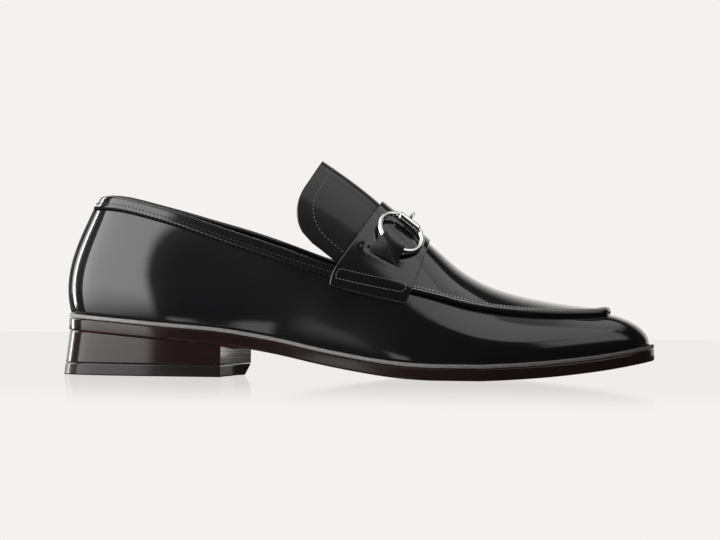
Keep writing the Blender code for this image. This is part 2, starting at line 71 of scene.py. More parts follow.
FOOT_LEAN = [(0, 16, 16), (0.12, 13, 13), (0.33, 12, 16), (0.47, 13, 17), (0.65, 8, 9), (0.8, 8, 6),
             (0.92, 5, 4), (1, 3, 3)]
SEAM_SLOPE = [(0, 66, 66), (0.12, 76, 76), (0.33, 83, 86), (0.47, 78, 80), (0.65, 58, 58),
              (0.8, 42, 42), (0.92, 25, 25), (1, 12, 12)]
HANDLES = [(0, 0.38, 0.33), (0.47, 0.38, 0.33), (0.65, 0.38, 0.35), (0.8, 0.38, 0.37),
           (0.92, 0.34, 0.38), (1, 0.3, 0.38)]
UNDERSIDE = [(0, 23.1), (27, 20.9), (54, 18.7), (81, 16.5), (97, 14.2), (112, 11.5), (128, 8),
             (144, 4.9), (160, 2.3), (174, 0.7), (188, 0), (200, -0.3), (213, 0), (230, 0.9), (246, 2.1),
             (262, 3.8), (280, 6.3), (304, 10.8)]
OUTSOLE_THICK = 6.1
WELT_THICK = 2.0
UP = np.array((0.0, 0.0, 1.0))


def spline(knots, values):
    """A natural cubic spline through the values, which reads whole arrays."""
    knots, values = np.array(knots, float), np.array(values, float)
    spans = np.diff(knots)
    slopes = np.diff(values) / spans
    system, right = np.eye(len(knots)), np.zeros(len(knots))
    for i in range(1, len(knots) - 1):
        system[i, i - 1:i + 2] = spans[i - 1], 2 * (spans[i - 1] + spans[i]), spans[i]
        right[i] = 6 * (slopes[i] - slopes[i - 1])
    bends = np.linalg.solve(system, right)

    def at(where):
        where = np.asarray(where, float)
        i = np.clip(np.searchsorted(knots, where) - 1, 0, len(spans) - 1)
        before, after, span = where - knots[i], knots[i + 1] - where, spans[i]
        return ((bends[i] * after ** 3 + bends[i + 1] * before ** 3) / (6 * span)
                + (values[i] / span - bends[i] * span / 6) * after
                + (values[i + 1] / span - bends[i + 1] * span / 6) * before)
    return at


def round_spline(rows, signed=False):
    """A spline round the whole shoe, from rows of x, outer value and inner value."""
    back, front = rows[0][0], rows[-1][0]
    angles = [math.acos(1 - 2 * (row[0] - back) / (front - back)) for row in rows]
    sign = -1 if signed else 1
    outer = [(-angle, sign * row[1]) for angle, row in zip(angles, rows)][1:]
    inner = [(angle, row[2]) for angle, row in zip(angles, rows)][:-1]
    turn = sorted(outer + inner)
    before = [(angle - 2 * math.pi, value) for angle, value in turn[-4:]]
    after = [(angle + 2 * math.pi, value) for angle, value in turn[:4]]
    return spline(*zip(*(before + turn + after)))


sole_side = round_spline(SOLE_EDGE, signed=True)
seam_side = round_spline(SEAM_EDGE, signed=True)
seam_height = round_spline(SEAM_HEIGHT)
feather = round_spline(FEATHER)
foot_lean = round_spline(FOOT_LEAN)
seam_slope = round_spline(SEAM_SLOPE)
foot_handle = spline([row[0] for row in HANDLES], [row[1] for row in HANDLES])
seam_handle = spline([row[0] for row in HANDLES], [row[2] for row in HANDLES])
underside_line = spline(*zip(*UNDERSIDE))


def underside(x):
    """Height of the outsole's underside."""
    return np.maximum(0.0, underside_line(x))


def times(vectors, amounts):
    """Vectors scaled one by one, or one vector scaled by each amount."""
    return vectors * np.asarray(amounts, float)[..., None]


def unit(vectors):
    """Vectors of length 1."""
    return vectors / np.maximum(np.linalg.norm(vectors, axis=-1, keepdims=True), 1e-9)


def plan_point(back, front, side, angle):
    """A point of a closed line seen from above, and the direction that faces out of it."""
    half, step = (front - back) / 2, 0.001
    along_x = half * np.sin(angle)
    along_y = (side(angle + step) - side(angle - step)) / (2 * step)
    size = np.hypot(along_x, along_y)
    zero = np.zeros_like(size)
    point = np.stack((back + half - half * np.cos(angle), side(angle), zero), -1)
    return point, np.stack((-along_y / size, along_x / size, zero), -1)


def seam_frame(angle):
    """The seam point, the wall's direction up into it, the wall's normal there, and outwards."""
    point, out = plan_point(SEAM_BACK, SEAM_FRONT, seam_side, angle)
    slope = np.radians(seam_slope(angle))
    point = point + times(UP, seam_height(angle))
    up = times(UP, np.sin(slope)) - times(out, np.cos(slope))
    normal = times(out, np.sin(slope)) + times(UP, np.cos(slope))
    return point, up, normal, out


def wall_point(angle, share):
    """The wall's outer face, from share 0 at the welt to share 1 at the seam."""
    angle, share = np.broadcast_arrays(np.asarray(angle, float), np.asarray(share, float))
    point, out = plan_point(SOLE_BACK, LENGTH, sole_side, angle)
    foot = point - times(out, feather(angle))
    foot = foot + times(UP, underside(foot[..., 0]) + OUTSOLE_THICK + WELT_THICK + 2 * GAP)
    seam, up, _, _ = seam_frame(angle)
    chord = np.linalg.norm(seam - foot, axis=-1)
    lean, part = np.radians(foot_lean(angle)), (1 - np.cos(angle)) / 2
    leaning = times(UP, np.cos(lean)) + times(out, np.sin(lean))
    low = foot + times(leaning, chord * foot_handle(part))
    high = seam - times(up, chord * seam_handle(part))
    rest = 1 - share
    return (times(foot, rest ** 3) + times(low, 3 * rest ** 2 * share)
            + times(high, 3 * rest * share ** 2) + times(seam, share ** 3))


def wall_normal(angle, share):
    """The direction straight out of the wall."""
    step = 0.004
    along = wall_point(angle + step, share) - wall_point(angle - step, share)
    above, below = np.minimum(share + step, 1), np.maximum(share - step, 0)
    return unit(np.cross(wall_point(angle, above) - wall_point(angle, below), along))


def place(points):
    """Millimetres from the heel's back to metres from the middle of the shoe."""
    return (np.asarray(points, float) - np.array((LENGTH / 2, 0, 0))) * MM


def link_mesh(name, bm, material):
    """An object in the scene out of a bmesh."""
    mesh = bpy.data.meshes.new(name)
    bm.normal_update()
    bm.to_mesh(mesh)
    bm.free()
    mesh.materials.append(material)
    obj = bpy.data.objects.new(name, mesh)
    bpy.context.scene.collection.objects.link(obj)
    return obj


def add_piece(name, bm, material):
    """A smooth object that rides on the shoe and has the given material."""
    obj = link_mesh(name, bm, material)
    obj.data.shade_smooth()
    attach(obj, "root")
    return obj


def sheet_mesh(columns, rows, form, flip=False):
    """A grid laid on a form. The form gets arrays u and v from 0 to 1 and gives points."""
    bm = bmesh.new()
    layer = bm.loops.layers.uv.new("laid")
    bmesh.ops.create_grid(bm, x_segments=columns, y_segments=rows, size=0.5)
    verts = bm.verts[:]
    flat = np.array([vert.co for vert in verts]) + 0.5
    for face in bm.faces:
        for loop in face.loops:
            loop[layer].uv = loop.vert.co.x + 0.5, loop.vert.co.y + 0.5
    for vert, point in zip(verts, place(form(flat[:, 0], flat[:, 1]))):
        vert.co = point
    if flip:
        bmesh.ops.reverse_faces(bm, faces=bm.faces[:])
    bmesh.ops.remove_doubles(bm, verts=bm.verts[:], dist=0.000002)
    return bm


def add_wall(obj, thickness, side):
    """Leather of a real thickness from a sheet: side -1 goes inwards and 0 both ways."""
    solid = obj.modifiers.new("wall", "SOLIDIFY")
    solid.thickness = thickness * MM
    solid.offset = side
    return solid


def fill(node, values):
    """Sets inputs of a node by name."""
    for name, value in values.items():
        node.inputs[name].default_value = value


def add_node(tree, kind, values=(), **settings):
    """A shader node with its settings and inputs."""
    node = tree.nodes.new("ShaderNode" + kind)
    for name, value in settings.items():
        setattr(node, name, value)
    fill(node, dict(values))
    return node


def new_material(name):
    """A material, its node tree and its shader."""
    material = bpy.data.materials.new(name)
    material.use_nodes = True
    return material, material.node_tree, material.node_tree.nodes["Principled BSDF"]


def wire(tree, *runs):
    """Links in a node tree, each from a node's output to a node's input."""
    for start, output, end, entry in runs:
        tree.links.new(start.outputs[output], end.inputs[entry])


def grain_group():
    """Node group: fine grain and slow waves of a hide, as a normal."""
    group = bpy.data.node_groups.new("leather_grain", "ShaderNodeTree")
    face = group.interface
    for socket, value in (("Scale", 900.0), ("Grain", 0.1), ("Waves", 0.1), ("Wave Scale", 60.0)):
        face.new_socket(socket, in_out="INPUT", socket_type="NodeSocketFloat").default_value = value
    face.new_socket("Normal", in_out="OUTPUT", socket_type="NodeSocketVector")
    face.new_socket("Mask", in_out="OUTPUT", socket_type="NodeSocketFloat")
    given, result = group.nodes.new("NodeGroupInput"), group.nodes.new("NodeGroupOutput")
    where = add_node(group, "TexCoord")
    cells = add_node(group, "TexVoronoi")
    waves = add_node(group, "TexNoise", {"Detail": 2})
    fine = add_node(group, "Bump", {"Distance": 0.0002})
    broad = add_node(group, "Bump", {"Distance": 0.002})
    wire(group, (where, "Object", cells, "Vector"), (where, "Object", waves, "Vector"),
         (given, "Scale", cells, "Scale"), (given, "Wave Scale", waves, "Scale"),
         (waves, "Fac", broad, "Height"), (given, "Waves", broad, "Strength"),
         (cells, "Distance", fine, "Height"), (given, "Grain", fine, "Strength"),
         (broad, "Normal", fine, "Normal"), (fine, "Normal", result, "Normal"),
         (waves, "Fac", result, "Mask"))
    return group


grain = grain_group()


def hide_material(name, color, roughness, coat, graining, waves, light=1.6, gleam=0.5):
    """A leather: its colour varies slowly between the given one and a lighter one."""
    material, tree, shader = new_material(name)
    effect = add_node(tree, "Group", {"Grain": graining, "Waves": waves}, node_tree=grain)
    lighter = (*[min(1, part * light) for part in color], 1)
    tone = add_node(tree, "Mix", {"A": (*color, 1), "B": lighter}, data_type="RGBA")
    fill(shader, {"Roughness": roughness, "Coat Weight": coat, "Coat Roughness": 0.04,
                  "Specular IOR Level": gleam})
    wire(tree, (effect, "Mask", tone, "Factor"), (tone, "Result", shader, "Base Color"),
         (effect, "Normal", shader, "Normal"))
    return material


gloss = hide_material("polished_leather", (0.0045, 0.0045, 0.005), roughness=0.22, coat=1.0,
                      graining=0.02, waves=0.035, gleam=0.15)
# Troughs and swells of the leather: x, z, reach in x and in z, depth.
SOFT_SPOTS = [(62, 52, 26, 12, 0.35), (104, 46, 20, 14, -0.3), (150, 34, 14, 10, 0.3),
              (128, 50, 9, 7, 0.25), (232, 26, 16, 7, 0.2)]


def wall_form(u, v):
    """The outer face of the wall with its soft troughs."""
    angle = math.pi - 2 * math.pi * u
    point = wall_point(angle, v)
    depth = 0
    for x, z, wide, tall, deep in SOFT_SPOTS:
        near = ((point[:, 0] - x) / wide) ** 2 + ((point[:, 2] - z) / tall) ** 2
        depth = depth + deep * np.exp(-near)
    return point - times(wall_normal(angle, v), depth)


walls = add_piece("quarters_and_vamp", sheet_mesh(360, 40, wall_form), gloss)
add_wall(walls, thickness=1.0, side=-1)
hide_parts("upper")

# Lining. Thin black calf glued inside the quarters and the vamp, from the insole up to the seam.
# It is seen in the open collar.
lining_hide = hide_material("lining_leather", (0.02, 0.02, 0.02), roughness=0.6, coat=0.0,
                            graining=0.3, waves=0.1)
LINING_DEPTH = 1.1


def lining_form(u, v):
    """Just inside the wall, from the insole up to the seam."""
    angle = math.pi - 2 * math.pi * u
    share = 0.02 + 0.975 * v
    return wall_point(angle, share) - wall_normal(angle, share) * LINING_DEPTH


inside = add_piece("lining", sheet_mesh(240, 24, lining_form), lining_hide)
add_wall(inside, thickness=0.6, side=-1)

# Apron. The upper's plug over the toes, one piece of the same calf up to the throat, with its
# edge turned and standing proud of the wall as a lip, and two rows of stitches along it.
THROAT_X = 148.3
LIP_START_X = 150.0
LIP_STEP = [(15.6, 1.2, 1.2), (100, 1.2, 1.2), (136, 1.5, 1.5), (160, 1.9, 1.9), (185, 2.2, 2.2),
            (281, 2.3, 2.3)]
CROWN = [(148, 100.2), (161.8, 89.7), (168, 84.9), (175, 79.6), (180.4, 75.3), (186.5, 70.1),
         (192.7, 64.8), (200.9, 57.8), (209.2, 52.3), (217.4, 48.3), (229.8, 44.2), (246.2, 40.8),
         (262.7, 38.5), (281, 36.9)]
# How far the crown of the instep lies forward of its two lips, by their x.
CROWN_FORWARD = [(100, 38), (120, 31.5), (136.4, 25.4), (153, 18.6), (177.7, 8.8), (200, 3.2), (230, 0.6),
                 (255, 0), (281, 0)]
lip_step = round_spline(LIP_STEP)
crown_line = spline(*zip(*CROWN))
crown_forward = spline(*zip(*CROWN_FORWARD))


def lip_point(angle):
    """The corner of the band or the lip, which stands out of the wall."""
    seam, _, normal, _ = seam_frame(angle)
    return seam + times(normal, lip_step(angle))


def seam_angle(x):
    """The angle at which the seam passes x."""
    return np.arccos(np.clip(1 - 2 * (np.asarray(x, float) - SEAM_BACK) / (SEAM_FRONT - SEAM_BACK), -1, 1))


def instep_point(angle, across):
    """The apron and the instep: across runs from -1 at the outer lip to 1 at the inner one."""
    angle, across = np.broadcast_arrays(np.asarray(angle, float), np.asarray(across, float))
    outer, inner = lip_point(-angle), lip_point(angle)
    middle = (outer + inner) / 2
    crown_x = middle[..., 0] + crown_forward(middle[..., 0])
    crown = np.stack((crown_x, middle[..., 1], crown_line(crown_x)), -1)
    return middle + times((inner - outer) / 2, across) + times(crown - middle, 1 - across ** 2)


def apron_form(u, v):
    """From the throat to the toe, across from lip to lip."""
    start = seam_angle(THROAT_X)
    return instep_point(start + (math.pi - start) * v, 2 * u - 1)


apron = add_piece("apron", sheet_mesh(72, 150, apron_form, flip=True), gloss)
add_wall(apron, thickness=1.2, side=-1)


def lip_frame(angle):
    """The lip's corner, the direction into the apron along its face, and the face's normal."""
    seam, _, _, out = seam_frame(angle)
    corner = lip_point(angle)
    other = lip_point(-angle)
    middle = (corner + other) / 2
    crown_x = middle[..., 0] + crown_forward(middle[..., 0])
    rise = np.maximum(crown_line(crown_x) - middle[..., 2], 0)
    half = np.linalg.norm(corner - other, axis=-1) / 2
    slope = np.arctan(2 * rise / np.maximum(half, 20))
    inward = times(UP, np.sin(slope)) - times(out, np.cos(slope))
    normal = times(UP, np.cos(slope)) + times(out, np.sin(slope))
    return seam, corner, inward, normal


# Ten places round the lip's section: how far in, how tall, and how far back towards the seam.
LIP_SECTION = spline(np.linspace(0, 1, 10), [0, 0, -0.05, 0.2, 0.65, 1.3, 2.0, 2.7, 3.5, 4.2])
LIP_TALL = spline(np.linspace(0, 1, 10), [0, 0, 0, 0.2, 0.5, 0.8, 1.02, 1.0, 0.5, -0.5])
LIP_DROP = spline(np.linspace(0, 1, 10), [1.1, 0.75, 0.3, 0.0, 0, 0, 0, 0, 0, 0])


def lip_form(u, v):
    """The lip's section from the seam, up its face, over the top and down to the apron."""
    start = float(seam_angle(LIP_START_X))
    angle = start + (2 * math.pi - 2 * start) * u
    angle = np.where(angle > math.pi, angle - 2 * math.pi, angle)
    seam, corner, inward, normal = lip_frame(angle)
    return (corner + times(inward, LIP_SECTION(v)) + times(normal, LIP_TALL(v))
            + times(seam - corner, LIP_DROP(v)))


add_piece("apron_lip", sheet_mesh(420, 18, lip_form, flip=True), gloss)

# Collar band. A strip of the same calf folded over the top edge of the quarters and sewn through
# with one row of stitches. It rolls inwards, and its two ends run in under the strap.
BAND_HIGH = 7.2
BAND_THICK = 3.3
BAND_ROLL = math.radians(6)
BAND_INSIDE = 8.0
BAND_TUCK = 0.9
BAND_TUCK_DEEP = 1.1
BAND_FRONT_X = 146.0
BLEND_START = 108.0
BLEND_END = 134.0


def band_face(angle, height):
    """The band's outer face at a height over its lower edge, running into the instep in front."""
    seam, up, normal, _ = seam_frame(angle)
    plain = lip_point(angle) + times(up * math.cos(BAND_ROLL) - normal * math.sin(BAND_ROLL), height)
    part = np.clip((seam[..., 0] - BLEND_START) / (BLEND_END - BLEND_START), 0, 1)
    part = part * part * (3 - 2 * part)
    level = np.abs(angle)
    half = (lip_point(level) - lip_point(-level)) / 2
    crown = instep_point(level, 0) - instep_point(level, 1) + half
    share = height / np.linalg.norm(half + 2 * crown, axis=-1)
    leaning = instep_point(level, np.where(angle < 0, -1, 1) * (1 - share))
    return times(plain, 1 - part) + times(leaning, part)


def band_form(u, v):
    """Up the outer face, over the rounded top and down inside."""
    reach = float(seam_angle(BAND_FRONT_X))
    angle = reach - 2 * reach * u
    radius = BAND_THICK / 2
    round_long = math.pi * radius
    whole = BAND_TUCK + BAND_HIGH + round_long + BAND_INSIDE
    run = v * whole - BAND_TUCK
    height = np.clip(run, 0, BAND_HIGH - radius)
    step = 0.004
    along = band_face(angle + step, height) - band_face(angle - step, height)
    rising = unit(band_face(angle, height + 0.2) - band_face(angle, height))
    normal = unit(np.cross(rising, along))
    over = np.clip((run - height) / radius, 0, math.pi)
    over = np.where(run > height, over, 0)
    down = np.maximum(run - height - round_long, 0)
    point = band_face(angle, height)
    point = point + times(rising, radius * np.sin(over) - down)
    point = point - times(normal, radius * (1 - np.cos(over)))
    return point - times(normal, np.clip(-run / BAND_TUCK, 0, 1) * BAND_TUCK_DEEP)


add_piece("collar_band", sheet_mesh(420, 34, band_form), gloss)

# Back strip. A narrow strip of dull calf sewn over the seam that closes the quarters at the heel,
# from the welt up to the collar band. Its stitches pull fine waves into its cut edges.
STRIP_ANGLE = 0.075
STRIP_PROUD = 1.1
STRIP_WAVES = 52


def strip_form(u, v):
    """Over the heel seam, proud of the wall, with waves along it."""
    wave = np.cos(2 * math.pi * STRIP_WAVES * v)
    angle = STRIP_ANGLE * (1 - 2 * u) * (1 + 0.05 * wave)
    share = 0.005 + 0.985 * v
    edge = np.clip((1 - np.abs(1 - 2 * u)) / 0.25, 0, 1)
    proud = STRIP_PROUD * np.sqrt(edge) + 0.05 + 0.12 * wave
    return wall_point(angle, share) + times(wall_normal(angle, share), proud)


dull = hide_material("strip_leather", (0.006, 0.006, 0.006), roughness=0.5, coat=0.15,
                     graining=0.1, waves=0.02, gleam=0.15)
strip = add_piece("heel_strip", sheet_mesh(20, 260, strip_form), dull)
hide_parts("back_strip")

# Tongue. A stiff tongue of matt calf, sewn in under the apron and the strap, that stands up free
# behind them. A row of stitches runs round it near its edge.
matt = hide_material("tongue_leather", (0.006, 0.006, 0.0065), roughness=0.3, coat=0.35,
                     graining=0.12, waves=0.05, gleam=0.3)
TONGUE_LINE = spline(*zip(*[(132, 110.9), (148, 100), (158, 92.3), (162, 88.8), (166, 84.3), (170, 79.6),
                            (174, 75.5), (179, 71)]))
TONGUE_WIDE = 28.5
TONGUE_DROP = 37.0
TONGUE_SLOPE = math.radians(32.7)
TONGUE_MIDDLE = -1.8
TONGUE_FRONT = 179.0
TONGUE_THICK = 2.2
TONGUE_TIP_X = 161.8
TONGUE_STRAIGHT = 16.0
TONGUE_CORNER = 17.0
TONGUE_ROUND = 19.0


def tongue_face(x, across):
    """The tongue's outer face: an arch set square to its slope."""
    drop = TONGUE_DROP * across ** 2
    return np.stack((x - math.sin(TONGUE_SLOPE) * drop, TONGUE_MIDDLE + TONGUE_WIDE * across,
                     TONGUE_LINE(x) - math.cos(TONGUE_SLOPE) * drop), -1)


def tongue_end(across):
    """Where the tongue ends: straight over the crown, with round corners."""
    drop = TONGUE_DROP * across ** 2
    rounding = np.clip((drop - TONGUE_STRAIGHT) / (TONGUE_DROP - TONGUE_STRAIGHT), 0, 1)
    reach = TONGUE_CORNER + TONGUE_ROUND * np.sqrt(1 - rounding ** 2)
    return TONGUE_TIP_X - math.cos(TONGUE_SLOPE) * reach


def tongue_form(u, v):
    """From under the apron up to the free end."""
    across = 1 - 2 * u
    end = tongue_end(across)
    return tongue_face(TONGUE_FRONT + (end - TONGUE_FRONT) * v, across)


tongue = add_piece("tongue_flap", sheet_mesh(90, 60, tongue_form, flip=True), matt)
add_wall(tongue, thickness=TONGUE_THICK, side=-1)
rounding = tongue.modifiers.new("rounding", "BEVEL")
rounding.width = 0.7 * MM
rounding.segments = 3
rounding.angle_limit = math.radians(50)
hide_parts("tongue")

# Saddle strap. A strap of the polished calf over the instep, with pale cut edges, sewn down at its
# two feet on the walls with a long box of stitches on each.
STRAP_BACK = 136.4
STRAP_FRONT = 177.7
STRAP_THICK = 1.3
STRAP_LIFT = GAP + 0.1 + STRAP_THICK
STRAP_FOOT = 0.16
FOOT_X_BACK = 4.4
FOOT_SHARE = 0.88
FOOT_SHARE_DROP = 0.06
BEND_START = 0.9


def strap_bare(forward, across):
    """The instep, and beyond 1 straight down to the strap's foot on the wall."""
    x = STRAP_BACK + (STRAP_FRONT - STRAP_BACK) * forward
    over = instep_point(seam_angle(x), np.clip(across, -1, 1))
    side = np.sign(across)
    foot_angle = side * seam_angle(x - FOOT_X_BACK * forward)
    foot = wall_point(foot_angle, FOOT_SHARE - FOOT_SHARE_DROP * forward)
    part = np.clip(np.abs(across) - 1, 0, 1)
    return times(over, 1 - part) + times(foot, part)


def strap_face(forward, across):
    """The face that the strap lies on, with its bend over the seam rounded."""
    forward, across = np.broadcast_arrays(np.asarray(forward, float), np.asarray(across, float))
    side = np.sign(across)
    part = np.clip(np.abs(across) - BEND_START, 0, 1)
    part = np.sqrt(part) * (1 - part) + part * part
    bend = (times(strap_bare(forward, side * BEND_START), (1 - part) ** 2)
            + times(strap_bare(forward, side), 2 * part * (1 - part))
            + times(strap_bare(forward, side * (BEND_START + 1)), part ** 2))
    inside = ((part > 0) & (part < 1))[..., None]
    return np.where(inside, bend, strap_bare(forward, across))


def strap_surface(forward, across, lift=0.0):
    """A point on the strap's outer face and its outward direction. Across is below 0 outside."""
    step = 0.01
    inside = np.clip(across, -1.98, 1.98)
    along = strap_face(forward + step, across) - strap_face(forward - step, across)
    sideways = strap_face(forward, inside + step) - strap_face(forward, inside - step)
    normal = unit(np.cross(along, sideways))
    return strap_face(forward, across) + normal * (STRAP_LIFT + lift), normal


def strap_form(u, v):
    """The strap's outer face, with more columns on the instep than on the feet."""
    across = (2 * u - 1) * (1 + STRAP_FOOT)
    foot = np.sign(across) * (1 + (np.abs(across) - 1) / STRAP_FOOT)
    return strap_surface(v, np.where(np.abs(across) > 1, foot, across))[0]


cut_edge = hide_material("cut_edge", (0.1, 0.098, 0.095), roughness=0.5, coat=0.0, graining=0.1,
                         waves=0.0)
strap = add_piece("strap", sheet_mesh(160, 60, strap_form, flip=True), gloss)
strap.data.materials.append(cut_edge)
solid = add_wall(strap, thickness=STRAP_THICK, side=-1)
solid.material_offset_rim = 1
edge = strap.modifiers.new("rounding", "BEVEL")
edge.width = 0.35 * MM
edge.segments = 2
edge.angle_limit = math.radians(50)
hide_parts("saddle_strap")

# Slits. One is cut in the strap on each side for the keeper, and its edges turn down into it. The
# leather puckers along it, and most at its back end.
SLIT = ((0.23, 0.75), (0.69, 0.80))
SLIT_DEEP = 0.55
SLIT_RIM = 0.15
SLIT_RIPPLE = 0.03
PUCKER_HIGH = 0.25
where = np.array([vert.co for vert in strap.data.vertices]) / MM + (LENGTH / 2, 0, 0)
rise = np.zeros(len(where))
for side in (-1, 1):
    back, front = [strap_surface(forward, side * across)[0] for forward, across in SLIT]
    part = np.clip((where - back) @ (front - back) / np.dot(front - back, front - back), 0, 1)
    far = np.linalg.norm(where - back - times(front - back, part), axis=1)
    trough = SLIT_RIM * np.exp(-((far - 2.6) / 1.6) ** 2) - SLIT_DEEP * np.exp(-far ** 2)
    ripple = SLIT_RIPPLE * np.sin(part * 34) * np.exp(-(far / 2.2) ** 2)
    pucker = np.exp(-(np.linalg.norm(where - back + (2.0, 0, -1.0), axis=1) / 2.0) ** 2)
    rise += trough + ripple + PUCKER_HIGH * pucker
for vert, lift in zip(strap.data.vertices, rise):
    vert.co += vert.normal * lift * MM

# Bit. A ring on each side and a bar over the instep with a barrel at each end and a joint bead in
# the middle, all polished steel. Each ring passes through its barrel and hangs in a keeper.
def plain_material(name, color, roughness, metallic=0.0, gleam=0.5):
    """A material of one colour."""
    material, _, shader = new_material(name)
    fill(shader, {"Base Color": (*color, 1), "Roughness": roughness, "Metallic": metallic,
                  "Specular IOR Level": gleam})
    return material


steel = plain_material("polished_steel", (0.9, 0.895, 0.88), roughness=0.2, metallic=1)
WIRE = 1.3
RING_WIDE = 24.0
RING_DEEP = 22.0
BARREL_LIFT = 5.0
RING_LIFT = 8.9
BAR_X = 159.2
BAR_ROUND = 1.15
BAR_SWELL = 0.3
BARREL_ACROSS = 0.3
RING_X = 156.2
RING_ACROSS = 0.83
BEAD_HALF = 2.7
BEAD_ROUND = 2.35
BEAD_FLAT = 0.62


def bit_frame(side):
    """Barrel centre and axes of a ring: along the barrel, down the strap, and outwards."""
    def lifted(x, across, lift):
        start = instep_point(seam_angle(x), side * across)
        ahead = instep_point(seam_angle(x + 3), side * across) - start
        outward = np.cross(ahead, instep_point(seam_angle(x), side * (across + 0.05)) - start) * side
        return start + unit(outward) * lift
    near = lifted(BAR_X, BARREL_ACROSS, BARREL_LIFT)
    ahead = lifted(BAR_X + 3, BARREL_ACROSS, BARREL_LIFT) - near
    down = unit(lifted(RING_X, RING_ACROSS, RING_LIFT) - near)
    ahead = unit(ahead - down * ahead.dot(down))
    return near, ahead, down, np.cross(ahead, down) * side


def rod_mesh(centres, across, sideways, radii, columns, flat=1.0):
    """A round rod along a line of centres, with a radius for each. Flat squeezes it sideways."""
    rows = len(centres) - 1
    across, sideways = [np.broadcast_to(given, centres.shape) for given in (across, sideways)]

    def form(u, v):
        row = np.round(v * rows).astype(int)
        turn = 2 * math.pi * u
        offset = times(across[row], np.cos(turn)) + times(sideways[row], flat * np.sin(turn))
        return centres[row] + times(offset, radii[row])
    bm = sheet_mesh(columns, rows, form)
    ends = [item for item in bm.edges if item.is_boundary]
    if ends:
        bmesh.ops.holes_fill(bm, edges=ends)
    bmesh.ops.recalc_face_normals(bm, faces=bm.faces[:])
    return bm


def join_meshes(meshes):
    """One bmesh out of several."""
    whole = meshes[0]
    for other in meshes[1:]:
        spare = bpy.data.meshes.new("spare")
        other.to_mesh(spare)
        other.free()
        whole.from_mesh(spare)
        bpy.data.meshes.remove(spare)
    return whole


# A ring is straight where it passes through its barrel, and round over its keeper.
for side, name in ((-1, "ring_outer"), (1, "ring_inner")):
    centre, ahead, down, out = bit_frame(side)
    middle = RING_DEEP - RING_WIDE / 2
    flat = [(-7, 0), (-2.3, 0), (2.3, 0), (7, 0)]
    for i in range(19):
        turn = math.radians(48 - 276 * i / 18)
        flat.append((RING_WIDE / 2 * math.cos(turn), middle - RING_WIDE / 2 * math.sin(turn)))
    knots = np.arange(-4, len(flat) + 5)
    around = spline(knots, [flat[i % len(flat)][0] for i in knots])
    downwards = spline(knots, [flat[i % len(flat)][1] for i in knots])
    turns = np.linspace(0, len(flat), 241)
    line = centre + times(ahead, around(turns)) + times(down, downwards(turns))
    along = unit(np.roll(line[:-1], -1, 0) - np.roll(line[:-1], 1, 0))
    along = np.concatenate((along, along[:1]))
    bm = rod_mesh(line, out, np.cross(out, along), np.full(len(turns), WIRE), 20)
    ring = add_piece(name, bm, steel)
    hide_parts("bit_" + name)

(left, left_ahead, _, _), (right, right_ahead, _, _) = bit_frame(-1), bit_frame(1)
bar_up = np.array((0.54, 0, 0.84))
top = instep_point(seam_angle(BAR_X), 0) + bar_up * BARREL_LIFT
part = np.linspace(-1, 1, 49)
path = (times(left, 1 - part) + times(right, 1 + part)) / 2
path = path + times(top - (left + right) / 2, 1 - part ** 2)
along = unit(np.gradient(path, axis=0))
level = unit(np.cross(along, bar_up))
bars = [rod_mesh(path, level, np.cross(along, level), BAR_ROUND + BAR_SWELL * (1 - np.abs(part)), 20)]
BARREL_ALONG = np.array([-6, -5.95, -5.75, -5.4, -5, -4, 4, 5, 5.4, 5.75, 5.95, 6])
BARREL_ROUND = np.array([1.7, 1.95, 2.16, 2.27, 2.3, 2.3, 2.3, 2.3, 2.27, 2.16, 1.95, 1.7])
for centre, ahead in ((left, left_ahead), (right, right_ahead)):
    level = unit(np.cross(ahead, UP))
    line = centre + times(ahead, BARREL_ALONG)
    bars.append(rod_mesh(line, level, np.cross(ahead, level), BARREL_ROUND, 32))
bead = np.linspace(-1, 1, 15)
line = top + times((0, 1, 0), BEAD_HALF * np.sin(bead * math.pi / 2))
bead_size = BEAD_ROUND * np.sqrt(np.maximum(1 - np.sin(bead * math.pi / 2) ** 2, 0)) + 0.02
bead_size = bead_size * (1 - 0.16 * np.exp(-(bead / 0.18) ** 2))
bars.append(rod_mesh(line, bar_up, (0.84, 0, -0.54), bead_size, 24, flat=BEAD_FLAT))
bar = add_piece("bar_barrels_and_bead", join_meshes(bars), steel)
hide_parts("bit_bar")

